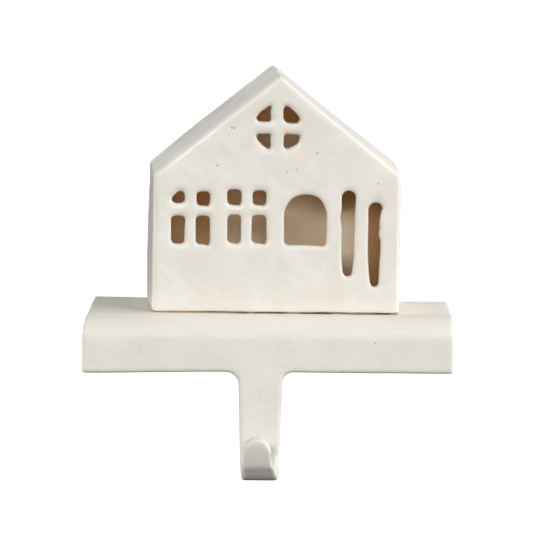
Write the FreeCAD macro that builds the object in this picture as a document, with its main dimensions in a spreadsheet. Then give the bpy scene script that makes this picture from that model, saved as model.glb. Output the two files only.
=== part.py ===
import FreeCAD
import Part
import Sketcher
import math
import os

# Mantel stocking holder: a cast base that sits on a mantel shelf, with a rounded lip and a J-shaped
# hook that hang in front of the shelf's edge, and a hollow ceramic house glued on top of it.
# Millimetres. X runs along the shelf, Y runs into the shelf and away from the room, Z is up.
# The origin is the middle of the felt's underside, which is the surface that rests on the shelf.

Vector = FreeCAD.Vector

SHEET = "Sizes"

# Driving sizes of the cast base: plate, lip and the shoulder that curves from one to the other.
BASE = {
    "base_width": 150.0,
    "base_depth": 68.0,
    "plate_thick": 9.0,
    "lip_thick": 6.0,
    "lip_height": 22.5,
    "shoulder_run": 13.0,
    "shoulder_drop": 9.0,
    "shoulder_nose": 6.0,
    "left_shoulder_taper": 2.4,
    "left_end_taper": 5.6,
    "casting_soft": 1.2,
}

# The hook is a strap as thick as the lip. The tongue is the strap's free end, in front of the shaft.
HOOK = {
    "hook_shift": -2.75,
    "hook_width": 17.9,
    "hook_foot_width": 16.2,
    "hook_drop": 43.9,
    "hook_throat": 14.0,
    "tongue_shift": -1.6,
    "tongue_width": 11.1,
    "tongue_rise": 9.5,
    "tongue_lean_degrees": 15.0,
    "left_root_radius": 5.5,
    "right_root_radius": 4.0,
}

# The ceramic house: plain walls and a pitched roof of one thickness, open underneath. It stands back
# from the end of the shoulder, and the apex is measured from the middle of the round window below it.
HOUSE = {
    "house_width": 99.0,
    "house_depth": 53.0,
    "eave_height": 56.2,
    "apex_height": 21.6,
    "apex_shift": 1.0,
    "house_shift": 2.6,
    "house_setback": 0.5,
    "wall": 5.0,
    "house_soft": 2.0,
    "cutout_soft": 1.1,
}

# Cut-outs in the front wall, with heights from the house's foot. The windows, the doorway and the slits
# stand in a row. Each one's place is the wall between it and its neighbour on the left, and these walls
# share what the cut-outs leave of the house's width, in the ratio of their sizes.
CUTOUTS = {
    "pane_width": 6.35,
    "pane_bar": 3.7,
    "pane_foot": 27.4,
    "lower_pane_height": 12.5,
    "pane_gap": 3.4,
    "upper_pane_height": 6.7,
    "pane_corner": 1.1,
    "worn_pane_corner": 2.8,
    "left_window_place": 7.45,
    "right_window_place": 6.35,
    "right_window_lift": 0.5,
    "round_radius": 9.5,
    "round_bar": 4.5,
    "round_corner": 0.9,
    "round_place": 0.8,
    "round_height": 75.0,
    "arch_width": 17.3,
    "arch_height": 21.7,
    "arch_corner": 1.2,
    "arch_place": 6.65,
    "slit_top_radius": 2.85,
    "slit_foot_radius": 1.4,
    "slit_length": 36.0,
    "near_slit_place": 5.7,
    "near_slit_foot": 15.0,
    "far_slit_place": 5.2,
    "far_slit_foot": 10.7,
    "right_margin": 6.15,
}

# What is between the house and the base, and between the base and the shelf.
BETWEEN = {
    "glue_thick": 0.4,
    "glue_inset": 0.8,
    "glue_corner": 1.5,
    "felt_thick": 1.5,
    "felt_margin": 3.0,
    "felt_corner": 4.0,
}

# Faces that meet at less than this angle in degrees are one smooth surface.
SMOOTH_ANGLE = 40.0


class Size:
    """A length that keeps its number and the sheet formula that drives it side by side."""

    def __init__(self, value, formula):
        self.value = value
        self.formula = formula

    def __add__(self, other):
        other = as_size(other)
        return Size(self.value + other.value, f"({self.formula} + {other.formula})")

    def __sub__(self, other):
        other = as_size(other)
        return Size(self.value - other.value, f"({self.formula} - {other.formula})")

    def __mul__(self, other):
        other = as_size(other)
        return Size(self.value * other.value, f"({self.formula} * {other.formula})")

    def __truediv__(self, other):
        other = as_size(other)
        return Size(self.value / other.value, f"({self.formula} / {other.formula})")

    def __neg__(self):
        return Size(-self.value, f"(0 - {self.formula})")


def as_size(length):
    """A bare number as a Size of its own."""
    return length if isinstance(length, Size) else Size(float(length), repr(float(length)))


def square_root(length):
    """The square root of a Size."""
    return Size(math.sqrt(length.value), f"sqrt({length.formula})")


def sine(degrees):
    """The sine of an angle in degrees."""
    return Size(math.sin(math.radians(degrees.value)), f"sin({degrees.formula})")


def cosine(degrees):
    """The cosine of an angle in degrees."""
    return Size(math.cos(math.radians(degrees.value)), f"cos({degrees.formula})")


class Sheet:
    """The document's spreadsheet: the driving sizes, and lengths that are worked out from them."""

    def __init__(self, doc):
        self.doc = doc
        self.cells = doc.addObject("Spreadsheet::Sheet", SHEET)
        self.rows = 0
        for alias, value in (BASE | HOOK | HOUSE | CUTOUTS | BETWEEN).items():
            self.write(alias, str(value))
        doc.recompute()

    def __getitem__(self, alias):
        """One named length as a Size."""
        return Size(float(self.cells.get(alias)), f"{SHEET}.{alias}")

    def write(self, alias, text):
        """Fills the next cell and names it."""
        self.rows += 1
        self.cells.set(f"A{self.rows}", text)
        self.cells.setAlias(f"A{self.rows}", alias)

    def derive(self, alias, length):
        """Writes a worked-out length into the sheet and returns it under its own name."""
        self.write(alias, "=" + length.formula.replace(f"{SHEET}.", ""))
        self.doc.recompute()
        return self[alias]


def drive(target, path, length):
    """Sets one property of an object and ties it to the sheet."""
    target.setExpression(path, length.formula)


class Outline:
    """A sketch on one of a body's own origin planes, with its points tied to the sheet.

    place moves the sketch from the body's origin along the plane's own two directions and its normal,
    and lean turns it about its first direction.
    """

    def __init__(self, body, name, plane, place=(0, 0, 0), lean=None):
        self.sketch = body.newObject("Sketcher::SketchObject", name)
        origin_plane = next(o for o in body.Origin.OriginFeatures if o.Role == plane)
        self.sketch.AttachmentSupport = [(origin_plane, "")]
        self.sketch.MapMode = "FlatFace"
        lean = as_size(0 if lean is None else lean)
        offset = FreeCAD.Placement(Vector(*[as_size(p).value for p in place]),
                                   FreeCAD.Rotation(Vector(1, 0, 0), lean.value))
        self.sketch.AttachmentOffset = offset
        for axis, length in zip("xyz", place):
            drive(self.sketch, f"AttachmentOffset.Base.{axis}", as_size(length))
        if lean.value:
            drive(self.sketch, "AttachmentOffset.Rotation.Angle", lean)

    def line(self, start, end):
        """Adds a straight edge and returns its index."""
        ends = [Vector(as_size(x).value, as_size(y).value, 0) for x, y in (start, end)]
        return self.sketch.addGeometry(Part.LineSegment(*ends), False)

    def arc(self, centre, radius, first, last):
        """Adds a counter-clockwise arc between two angles in degrees and returns its index."""
        middle = Vector(as_size(centre[0]).value, as_size(centre[1]).value, 0)
        circle = Part.Circle(middle, Vector(0, 0, 1), as_size(radius).value)
        return self.sketch.addGeometry(Part.ArcOfCircle(circle, math.radians(first), math.radians(last)), False)

    def rule(self, kind, *where):
        """Adds a constraint that has no length."""
        self.sketch.addConstraint(Sketcher.Constraint(kind, *where))

    def measure(self, kind, length, *where):
        """Adds a constraint whose length is tied to the sheet."""
        index = self.sketch.addConstraint(Sketcher.Constraint(kind, *where, length.value))
        self.sketch.setExpression(f"Constraints[{index}]", length.formula)

    def pin(self, point, x=None, y=None):
        """Holds one point at the given distances from the sketch's own axes."""
        origin = (-1, 1)
        for kind, axis, length in (("DistanceX", -2, x), ("DistanceY", -1, y)):
            if length is None:
                continue
            length = as_size(length)
            if length.value == 0.0:
                self.rule("PointOnObject", *point, axis)
            elif length.value > 0.0:
                self.measure(kind, length, *origin, *point)
            else:
                self.measure(kind, -length, *point, *origin)

    def join(self, edges, kind, pairs=None):
        """Joins the end of each edge to the start of the next, right round."""
        for this, following in pairs or zip(edges, edges[1:] + edges[:1]):
            self.rule(kind, this, 2, following, 1)

    def polygon(self, corners):
        """Adds a closed outline of straight edges with every corner pinned."""
        edges = [self.line(a, b) for a, b in zip(corners, corners[1:] + corners[:1])]
        self.join(edges, "Coincident")
        for edge, corner in zip(edges, corners):
            self.pin((edge, 1), *corner)

    def rounded_box(self, left, foot, right, top, radii):
        """Adds a box with the radii of its lower left, lower right, upper right and upper left corners."""
        lower_left, lower_right, upper_right, upper_left = radii
        edges = [
            self.line((left + lower_left, foot), (right - lower_right, foot)),
            self.arc((right - lower_right, foot + lower_right), lower_right, 270, 360),
            self.line((right, foot + lower_right), (right, top - upper_right)),
            self.arc((right - upper_right, top - upper_right), upper_right, 0, 90),
            self.line((right - upper_right, top), (left + upper_left, top)),
            self.arc((left + upper_left, top - upper_left), upper_left, 90, 180),
            self.line((left, top - upper_left), (left, foot + lower_left)),
            self.arc((left + lower_left, foot + lower_left), lower_left, 180, 270),
        ]
        self.join(edges, "Tangent")
        for edge, kind in zip(edges[::2], ("Horizontal", "Vertical") * 2):
            self.rule(kind, edge)
        for edge, radius in zip(edges[1::2], (lower_right, upper_right, upper_left, lower_left)):
            self.measure("Radius", radius, edge)
        self.pin((edges[0], 1), y=foot)
        self.pin((edges[2], 1), x=right)
        self.pin((edges[4], 1), y=top)
        self.pin((edges[6], 1), x=left)

    def arch(self, middle, foot, width, height, corner):
        """Adds a doorway with a half-round head and rounded lower corners."""
        radius = width / 2
        left, right, spring = middle - radius, middle + radius, foot + height - radius
        edges = [
            self.line((left + corner, foot), (right - corner, foot)),
            self.arc((right - corner, foot + corner), corner, 270, 360),
            self.line((right, foot + corner), (right, spring)),
            self.arc((middle, spring), radius, 0, 180),
            self.line((left, spring), (left, foot + corner)),
            self.arc((left + corner, foot + corner), corner, 180, 270),
        ]
        self.join(edges, "Tangent")
        self.rule("Horizontal", edges[0])
        self.rule("Vertical", edges[2])
        self.rule("Vertical", edges[4])
        self.measure("Radius", radius, edges[3])
        self.measure("Radius", corner, edges[1])
        self.measure("Radius", corner, edges[5])
        self.pin((edges[3], 3), middle, spring)
        self.pin((edges[0], 1), y=foot)

    def tapered_slit(self, middle, foot, length, top_radius, foot_radius):
        """Adds an upright slit with a round head and a narrower round foot."""
        top_centre = foot + length - top_radius
        foot_centre = foot + foot_radius
        spread = (top_radius - foot_radius).value
        slope = math.degrees(math.asin(spread / (top_centre - foot_centre).value))
        turn = math.radians(slope)

        def on(centre, radius, side):
            across = radius.value * math.cos(turn) * side
            return (middle.value + across, centre.value - radius.value * math.sin(turn))

        edges = [
            self.line(on(foot_centre, foot_radius, 1), on(top_centre, top_radius, 1)),
            self.arc((middle, top_centre), top_radius, -slope, 180 + slope),
            self.line(on(top_centre, top_radius, -1), on(foot_centre, foot_radius, -1)),
            self.arc((middle, foot_centre), foot_radius, 180 + slope, 360 - slope),
        ]
        self.join(edges, "Tangent")
        self.measure("Radius", top_radius, edges[1])
        self.measure("Radius", foot_radius, edges[3])
        self.pin((edges[1], 3), middle, top_centre)
        self.pin((edges[3], 3), middle, foot_centre)

    def quadrant(self, radius, bar):
        """Adds a quarter of a disc that stands half a bar clear of both axes."""
        near = bar / 2
        far = square_root(radius * radius - near * near)
        start = math.degrees(math.atan2(near.value, far.value))
        edges = [
            self.line((near, near), (far, near)),
            self.arc((0, 0), radius, start, 90 - start),
            self.line((near, far), (near, near)),
        ]
        self.join(edges, "Coincident")
        self.rule("Coincident", edges[1], 3, -1, 1)
        self.measure("Radius", radius, edges[1])
        self.rule("Horizontal", edges[0])
        self.rule("Vertical", edges[2])
        self.pin((edges[0], 1), near, near)


def new_body(doc, label):
    """Starts a body whose label names its file."""
    body = doc.addObject("PartDesign::Body", label)
    body.Label = label
    return body


def pad(body, outline, name, length, both_sides=False, reverse=False):
    """Adds material from an outline."""
    feature = body.newObject("PartDesign::Pad", name)
    feature.Profile = outline.sketch
    drive(feature, "Length", length)
    feature.SideType = "Symmetric" if both_sides else "One side"
    feature.Reversed = reverse
    body.Document.recompute()


def cut(body, outline, name, length, both_sides=False):
    """Takes material away with an outline, and makes sure that some was taken."""
    before = body.Shape.Volume
    feature = body.newObject("PartDesign::Pocket", name)
    feature.Profile = outline.sketch
    drive(feature, "Length", length)
    feature.SideType = "Symmetric" if both_sides else "One side"
    body.Document.recompute()
    if not body.Shape.Volume < before:
        raise RuntimeError(f"{name} cut nothing")
    return feature


def middle_of(edge):
    """The point half way along an edge."""
    return edge.valueAt((edge.FirstParameter + edge.LastParameter) / 2)


def same(a, b, slack=0.001):
    """Whether two lengths agree."""
    return abs(a - b) < slack


def is_sharp(shape, edge):
    """Whether the two faces at an edge meet at a clear angle."""
    faces = shape.ancestorsOfType(edge, Part.Face)
    if len(faces) != 2:
        return False
    normals = [face.normalAt(*face.Surface.parameter(middle_of(edge))) for face in faces]
    return math.degrees(normals[0].getAngle(normals[1])) > SMOOTH_ANGLE


def soften(body, name, radius, wanted):
    """Rounds every sharp edge of the body for which wanted(middle point, edge) is true."""
    tip = body.Tip
    shape = tip.Shape
    chosen = [f"Edge{index}" for index, edge in enumerate(shape.Edges, start=1)
              if wanted(middle_of(edge), edge) and is_sharp(shape, edge)]
    if not chosen:
        raise RuntimeError(f"{name} found no edge")
    feature = body.newObject("PartDesign::Fillet", name)
    feature.Base = (tip, chosen)
    drive(feature, "Radius", radius)
    body.Document.recompute()


class Places:
    """Levels and faces that several pieces share, worked out from the driving sizes."""

    def __init__(self, s):
        self.plate_foot = s["felt_thick"]
        self.top = self.plate_foot + s["plate_thick"]
        self.lip_foot = self.top - s["lip_height"]
        self.back = (s["base_depth"] - s["lip_thick"]) / 2
        self.lip_back = -self.back
        self.front = self.lip_back - s["lip_thick"]
        self.nose_level = self.top - s["shoulder_drop"]

        self.house_front = self.front + s["shoulder_run"] + s["house_setback"]
        self.house_back = self.house_front + s["house_depth"]
        self.house_foot = self.top + s["glue_thick"]
        self.house_left = s["house_shift"] - s["house_width"] / 2
        self.house_right = s["house_shift"] + s["house_width"] / 2
        self.eave = self.house_foot + s["eave_height"]
        self.round_level = self.house_foot + s["round_height"]
        self.apex = self.round_level + s["apex_height"]
        self.apex_x = s["house_shift"] + s["apex_shift"]

        self.strap_middle = self.front + s["lip_thick"] / 2
        self.bend_y = self.front - s["hook_throat"] / 2
        self.bend_z = self.lip_foot - s["hook_drop"] + s["lip_thick"] + s["hook_throat"] / 2
        self.bend_radius = (s["hook_throat"] + s["lip_thick"]) / 2
        lean_sine, lean_cosine = sine(s["tongue_lean_degrees"]), cosine(s["tongue_lean_degrees"])
        self.tongue_x = s["hook_shift"] + s["tongue_shift"]
        self.tongue_foot = (self.bend_y - self.bend_radius * lean_cosine,
                            self.bend_z - self.bend_radius * lean_sine)
        self.cutout_middle = self.share_out_row(s)

    def share_out_row(self, s):
        """The middle of each cut-out of the row, with the spare wall shared out between neighbours."""
        window, slit = s["pane_width"] * 2 + s["pane_bar"], s["slit_top_radius"] * 2
        row = {"left_window": window, "right_window": window, "arch": s["arch_width"],
               "near_slit": slit, "far_slit": slit}
        asked, spare = s["right_margin"], s["house_width"]
        for name, width in row.items():
            asked, spare = asked + s[f"{name}_place"], spare - width
        share = s.derive("wall_share", spare / asked)
        middles, edge = {}, self.house_left
        for name, width in row.items():
            middle = edge + s[f"{name}_place"] * share + width / 2
            middles[name] = s.derive(f"{name}_middle", middle)
            edge = middles[name] + width / 2
        return middles


def draw_base_section(body, s, at):
    """Side view of the plate and lip, with a shoulder of two tangent arcs from the top to the lip's face."""
    run, drop, nose = s["shoulder_run"], s["shoulder_drop"], s["shoulder_nose"]
    level_gap = (run - nose) * (run - nose) + drop * drop - nose * nose
    crown = level_gap / ((drop - nose) * 2)
    crown_y, nose_y = at.front + run, at.front + nose
    meet = 180 - math.degrees(math.atan2((crown - drop).value, (run - nose).value))
    corners = [(at.front, at.nose_level), (at.front, at.lip_foot), (at.lip_back, at.lip_foot),
               (at.lip_back, at.plate_foot), (at.back, at.plate_foot), (at.back, at.top), (crown_y, at.top)]
    section = Outline(body, "base_section", "YZ_Plane")
    edges = [section.line(a, b) for a, b in zip(corners, corners[1:])]
    section.join(edges, "Coincident", zip(edges, edges[1:]))
    for edge, corner in zip(edges, corners):
        section.pin((edge, 1), *corner)
    section.pin((edges[-1], 2), *corners[-1])
    crown_arc = section.arc((crown_y, at.top - crown), crown, 90, meet)
    nose_arc = section.arc((nose_y, at.nose_level), nose, meet, 180)
    section.join(None, "Tangent", [(edges[-1], crown_arc), (crown_arc, nose_arc), (nose_arc, edges[0])])
    return section


def taper_left_end(body, s, at):
    """Cuts the left end back, first along the shoulder and then on to the rear corner."""
    left = -(s["base_width"] / 2)
    wedge = Outline(body, "left_end_wedge", "XY_Plane")
    wedge.polygon([(left, at.front), (left + s["left_shoulder_taper"], at.front + s["shoulder_run"]),
                   (left + s["left_end_taper"], at.back), (left, at.back)])
    cut(body, wedge, "left_end", s["lip_height"] * 4, both_sides=True)


def draw_shaft(body, s, at):
    """Front view of the hook's shaft: sides that close in downwards, blended into the lip by an arc each."""
    view = Outline(body, "shaft_view", "XZ_Plane", (0, 0, -at.front))
    root = at.lip_foot + s["lip_thick"] / 2
    taper = (s["hook_width"] - s["hook_foot_width"]) / 2 / (at.lip_foot - at.bend_z)
    slant = square_root(taper * taper + 1)
    stub, blend, side, foot = {}, {}, {}, {}
    for name, sign, radius in (("right", 1, s["right_root_radius"]), ("left", -1, s["left_root_radius"])):
        start = s["hook_shift"] + (s["hook_width"] / 2 + radius * (slant - taper)) * sign
        centre = (start, at.lip_foot - radius)
        touch = (start - radius / slant * sign, centre[1] + radius * taper / slant)
        lean = math.degrees(math.atan(taper.value))
        foot[name] = (s["hook_shift"] + s["hook_foot_width"] / 2 * sign, at.bend_z)
        stub[name] = view.line((start, root), (start, at.lip_foot))
        blend[name] = view.arc(centre, radius, *((90, 180 - lean) if sign > 0 else (lean, 90)))
        side[name] = view.line(touch, foot[name])
        view.rule("Vertical", stub[name])
        view.pin((stub[name], 1), y=root)
        view.pin((stub[name], 2), x=start)
        view.rule("Coincident", stub[name], 2, blend[name], 1 if sign > 0 else 2)
        view.rule("Tangent", blend[name], 2 if sign > 0 else 1, side[name], 1)
        view.pin((blend[name], 3), *centre)
        view.measure("Radius", radius, blend[name])
        view.pin((side[name], 2), *foot[name])
    for top_end, first, second in ((1, stub["left"], stub["right"]), (2, side["left"], side["right"])):
        ends = [view.sketch.getPoint(edge, top_end) for edge in (first, second)]
        closing = view.line((ends[0].x, ends[0].y), (ends[1].x, ends[1].y))
        view.rule("Coincident", first, top_end, closing, 1)
        view.rule("Coincident", second, top_end, closing, 2)
    return view


def draw_tongue(body, s, at):
    """The tongue in its own leaning plane: parallel sides and a half-round tip."""
    foot_y, foot_z = at.tongue_foot
    view = Outline(body, "tongue_view", "XZ_Plane", (at.tongue_x, foot_z, -foot_y), s["tongue_lean_degrees"])
    radius = s["tongue_width"] / 2
    spring = s["tongue_rise"] - radius
    edges = [
        view.line((radius, 0), (radius, spring)),
        view.arc((0, spring), radius, 0, 180),
        view.line((-radius, spring), (-radius, 0)),
        view.line((-radius, 0), (radius, 0)),
    ]
    view.join(edges, "Tangent", [(edges[0], edges[1]), (edges[1], edges[2])])
    view.join(edges, "Coincident", [(edges[2], edges[3]), (edges[3], edges[0])])
    view.rule("Vertical", edges[0])
    view.measure("Radius", radius, edges[1])
    view.pin((edges[1], 3), 0, spring)
    view.pin((edges[0], 1), y=0)
    view.pin((edges[3], 1), y=0)
    return view


def sweep_bend(body, s, at):
    """Sweeps the bend from the shaft's foot round to the tongue's foot, between two rounded sections."""
    x, thick, lean = s["hook_shift"], s["lip_thick"], s["tongue_lean_degrees"]
    path = Outline(body, "bend_path", "YZ_Plane", (0, 0, x))
    arc = path.arc((at.bend_y, at.bend_z), at.bend_radius, lean.value - 180, 0)
    path.pin((arc, 3), at.bend_y, at.bend_z)
    path.measure("Radius", at.bend_radius, arc)
    path.pin((arc, 2), y=at.bend_z)
    path.pin((arc, 1), y=at.tongue_foot[1])
    sections = []
    for name, middle, width, turn in (
        ("shaft_foot", (x, at.strap_middle, at.bend_z), s["hook_foot_width"], None),
        ("tongue_foot", (at.tongue_x, *at.tongue_foot), s["tongue_width"], lean),
    ):
        section = Outline(body, name, "XY_Plane", middle, turn)
        section.rounded_box(-(width / 2), -(thick / 2), width / 2, thick / 2, [s["casting_soft"]] * 4)
        sections.append(section.sketch)
    bend = body.newObject("PartDesign::AdditivePipe", "bend")
    bend.Profile = sections[0]
    bend.Spine = (path.sketch, ["Edge1"])
    bend.Sections = sections[1:]
    bend.Transformation = "Multisection"
    body.Document.recompute()


def soften_casting(body, s, at):
    """Rounds the casting's long edges, its right end and the whole outline of the hook."""
    left = -(s["base_width"] / 2).value
    taper = s["left_end_taper"].value
    inner_corner = (at.lip_back.value, at.plate_foot.value)
    shaft_foot = at.bend_z.value
    tongue_y, tongue_z = (length.value for length in at.tongue_foot)

    def is_free(point, edge):
        at_left_end = edge.BoundBox.XMax < left + taper + 0.1
        in_corner = same(point.y, inner_corner[0]) and same(point.z, inner_corner[1])
        at_shaft_foot = edge.BoundBox.ZLength < 0.01 and same(point.z, shaft_foot)
        on_tongue_foot = all(
            same((v.Y - tongue_y) * math.tan(math.radians(s["tongue_lean_degrees"].value)), v.Z - tongue_z, 0.01)
            for v in edge.Vertexes
        ) and point.y < at.front.value
        return not (at_left_end or in_corner or at_shaft_foot or on_tongue_foot)

    soften(body, "soft_edges", s["casting_soft"], is_free)


def make_base(doc, s, at):
    """The plate, lip and hook, which are one casting."""
    body = new_body(doc, "base_casting")
    pad(body, draw_base_section(body, s, at), "plate_and_lip", s["base_width"], both_sides=True)
    taper_left_end(body, s, at)
    pad(body, draw_shaft(body, s, at), "shaft", s["lip_thick"], reverse=True)
    pad(body, draw_tongue(body, s, at), "tongue", s["lip_thick"], both_sides=True)
    soften_casting(body, s, at)
    sweep_bend(body, s, at)
    return body


def inner_gable(s, at):
    """The corners of the hollow, which is the gable set in by one wall and open underneath."""
    wall = s["wall"]
    left_run, right_run = at.apex_x - at.house_left, at.house_right - at.apex_x
    rise = at.apex - at.eave
    left_pitch, right_pitch = rise / left_run, rise / right_run
    left_fall = wall * square_root(left_pitch * left_pitch + 1)
    right_fall = wall * square_root(right_pitch * right_pitch + 1)
    left_eave = at.eave + left_pitch * wall - left_fall
    right_eave = at.eave + right_pitch * wall - right_fall
    ridge_run = (right_fall - left_fall) / (left_pitch + right_pitch)
    ridge_x = at.apex_x - ridge_run
    ridge_z = at.apex - left_pitch * ridge_run - left_fall
    below = at.house_foot - wall
    return [(at.house_left + wall, below), (at.house_right - wall, below),
            (at.house_right - wall, right_eave), (ridge_x, ridge_z), (at.house_left + wall, left_eave)]


def cut_panes(body, s, at):
    """The two cross-barred windows: a tall and a short pane on each side of an upright bar."""
    soft, worn = s["pane_corner"], s["worn_pane_corner"]
    half_pitch = (s["pane_width"] + s["pane_bar"]) / 2
    windows = (
        ("left_window", at.house_foot + s["pane_foot"], worn),
        ("right_window", at.house_foot + s["pane_foot"] + s["right_window_lift"], soft),
    )
    for name, foot, outer_corner in windows:
        view = Outline(body, f"{name}_panes", "XZ_Plane", (0, 0, -at.house_front))
        upper_foot = foot + s["lower_pane_height"] + s["pane_gap"]
        for side, upper_left_corner in ((-1, outer_corner), (1, soft)):
            middle = at.cutout_middle[name] + half_pitch * side
            left, right = middle - s["pane_width"] / 2, middle + s["pane_width"] / 2
            view.rounded_box(left, foot, right, foot + s["lower_pane_height"], [soft] * 4)
            view.rounded_box(left, upper_foot, right, upper_foot + s["upper_pane_height"],
                             [soft, soft, soft, upper_left_corner])
        cut(body, view, name, s["wall"] * 1.5)


def cut_round_window(body, s, at):
    """The round window: one pane cut between the bars and repeated about the window's middle."""
    centre = (s["house_shift"] + s["round_place"], at.round_level)
    view = Outline(body, "round_window_pane", "XZ_Plane", (*centre, -at.house_front))
    view.quadrant(s["round_radius"], s["round_bar"])
    first = cut(body, view, "round_window_quarter", s["wall"] * 1.5)
    panes = body.newObject("PartDesign::PolarPattern", "round_window")
    panes.Originals = [first]
    panes.Axis = (view.sketch, ["N_Axis"])
    panes.Angle = 360
    panes.Occurrences = 4
    body.Tip = panes
    body.Document.recompute()

    reach = s["round_radius"].value
    wall = s["wall"].value

    def at_pane_corner(point, edge):
        from_centre = math.hypot(point.x - centre[0].value, point.z - centre[1].value)
        return from_centre < reach + 0.1 and same(edge.Length, wall)

    soften(body, "round_window_corners", s["round_corner"], at_pane_corner)


def cut_doorway_and_slits(body, s, at):
    """The arched doorway and the two tall slits to the right of it."""
    view = Outline(body, "doorway_view", "XZ_Plane", (0, 0, -at.house_front))
    view.arch(at.cutout_middle["arch"], at.house_foot + s["pane_foot"],
              s["arch_width"], s["arch_height"], s["arch_corner"])
    cut(body, view, "doorway", s["wall"] * 1.5)
    view = Outline(body, "slits_view", "XZ_Plane", (0, 0, -at.house_front))
    for name in ("near_slit", "far_slit"):
        view.tapered_slit(at.cutout_middle[name], at.house_foot + s[f"{name}_foot"],
                          s["slit_length"], s["slit_top_radius"], s["slit_foot_radius"])
    cut(body, view, "slits", s["wall"] * 1.5)


def make_house(doc, s, at):
    """The ceramic house, one fired piece with its windows cut through the front wall."""
    body = new_body(doc, "ceramic_house")
    gable = Outline(body, "gable", "XZ_Plane", (0, 0, -at.house_front))
    gable.polygon([(at.house_left, at.house_foot), (at.house_right, at.house_foot),
                   (at.house_right, at.eave), (at.apex_x, at.apex), (at.house_left, at.eave)])
    pad(body, gable, "walls_and_roof", s["house_depth"], reverse=True)
    foot = at.house_foot.value
    soften(body, "soft_corners", s["house_soft"], lambda point, edge: not same(point.z, foot))

    hollow = Outline(body, "hollow_view", "XZ_Plane", (0, 0, -(at.house_front + s["wall"])))
    hollow.polygon(inner_gable(s, at))
    cut(body, hollow, "hollow", s["house_depth"] - s["wall"] * 2)
    cut_panes(body, s, at)
    cut_round_window(body, s, at)
    cut_doorway_and_slits(body, s, at)
    front = at.house_front.value
    soften(body, "soft_cutouts", s["cutout_soft"],
           lambda point, edge: same(point.y, front) and not same(point.z, foot))
    return body


def make_glue_line(doc, s, at):
    """The ring of adhesive under the house's walls, set in a little from both of their faces."""
    body = new_body(doc, "house_glue_line")
    ring = Outline(body, "glue_ring", "XY_Plane", (0, 0, at.top))
    for margin in (s["glue_inset"], s["wall"] - s["glue_inset"]):
        ring.rounded_box(at.house_left + margin, at.house_front + margin,
                         at.house_right - margin, at.house_back - margin, [s["glue_corner"]] * 4)
    pad(body, ring, "glue", s["glue_thick"])
    return body


def make_felt(doc, s, at):
    """The felt sheet under the plate, which rests on the shelf."""
    body = new_body(doc, "mantel_felt")
    margin, half = s["felt_margin"], s["base_width"] / 2
    sheet = Outline(body, "felt_outline", "XY_Plane")
    sheet.rounded_box(s["left_end_taper"] + margin - half, at.lip_back + margin,
                      half - margin, at.back - margin, [s["felt_corner"]] * 4)
    pad(body, sheet, "felt", s["felt_thick"])
    return body


def check(doc, pieces):
    """Stops where an object of the document failed or a piece is not one valid solid."""
    failed = [o.Label for o in doc.Objects if {"Invalid", "Error"} & set(o.State)]
    if failed:
        raise RuntimeError(f"these objects failed: {failed}")
    for piece in pieces:
        if piece.Shape.isNull() or not piece.Shape.isValid() or len(piece.Shape.Solids) != 1:
            raise RuntimeError(f"{piece.Label} is not one valid solid")


def main():
    """Builds the document and writes one STEP file for each piece."""
    doc = FreeCAD.newDocument("stocking_holder")
    s = Sheet(doc)
    at = Places(s)
    pieces = [make_base(doc, s, at), make_house(doc, s, at), make_glue_line(doc, s, at), make_felt(doc, s, at)]
    doc.recompute()
    check(doc, pieces)
    os.makedirs("parts", exist_ok=True)
    for piece in pieces:
        piece.Shape.exportStep(f"parts/{piece.Label}.step")
        box = piece.Shape.BoundBox
        print(f"{piece.Label}: {piece.Shape.Volume / 1000:.1f} cm3, x {box.XMin:.1f} to {box.XMax:.1f}, "
              f"y {box.YMin:.1f} to {box.YMax:.1f}, z {box.ZMin:.1f} to {box.ZMax:.1f}")


main()
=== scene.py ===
import logging
import math
from dataclasses import dataclass, field
from enum import Enum
from functools import reduce

import bmesh
import bpy
import numpy as np
from mathutils import Matrix, Vector


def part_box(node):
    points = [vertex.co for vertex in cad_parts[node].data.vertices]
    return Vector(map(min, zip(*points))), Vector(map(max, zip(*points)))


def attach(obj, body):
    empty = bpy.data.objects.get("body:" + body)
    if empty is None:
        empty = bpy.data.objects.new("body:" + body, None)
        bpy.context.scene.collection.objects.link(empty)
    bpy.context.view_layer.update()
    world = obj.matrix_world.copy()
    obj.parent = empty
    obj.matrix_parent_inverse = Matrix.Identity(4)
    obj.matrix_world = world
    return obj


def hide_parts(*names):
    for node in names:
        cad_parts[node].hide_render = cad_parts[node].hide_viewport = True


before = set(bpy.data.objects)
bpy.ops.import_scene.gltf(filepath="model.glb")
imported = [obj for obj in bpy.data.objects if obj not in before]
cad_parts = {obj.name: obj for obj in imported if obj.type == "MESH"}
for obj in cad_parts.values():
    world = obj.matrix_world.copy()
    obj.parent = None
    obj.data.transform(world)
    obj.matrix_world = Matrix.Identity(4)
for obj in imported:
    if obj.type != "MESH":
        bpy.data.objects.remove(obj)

log = logging.getLogger("stocking_holder")

MM = 0.001
BRIGHTEST = 255
SAME_POINT = 0.00001
SMOOTHING = 0.5

# The Mix node's sockets for numbers, vectors and colours share their names, so the colours' go by number.
MIX_FIRST, MIX_SECOND, MIX_RESULT = 6, 7, 2

Colour = tuple[int, int, int]
Point = tuple[float, float, float]
Light = tuple[float, float, float, float]
Span = tuple[float, float]
Patch = tuple[float, float, float, float, float]
Socket = bpy.types.NodeSocket
Value = Socket | float
Shade = Value | tuple[float, ...]


class Slot(Enum):
    """The record's material slots for the pieces' finishes. Nothing in this script uses them."""

    GLAZE = "ivory_glaze"
    PAINT = "ivory_paint"
    GLUE = "brown_glue"
    FELT = "felt"


class Sum(Enum):
    """What a Math node works out."""

    ADD = "ADD"
    TAKE = "SUBTRACT"
    TIMES = "MULTIPLY"
    TIMES_THEN_ADD = "MULTIPLY_ADD"
    LARGER = "MAXIMUM"
    SIZE_OF = "ABSOLUTE"


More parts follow.
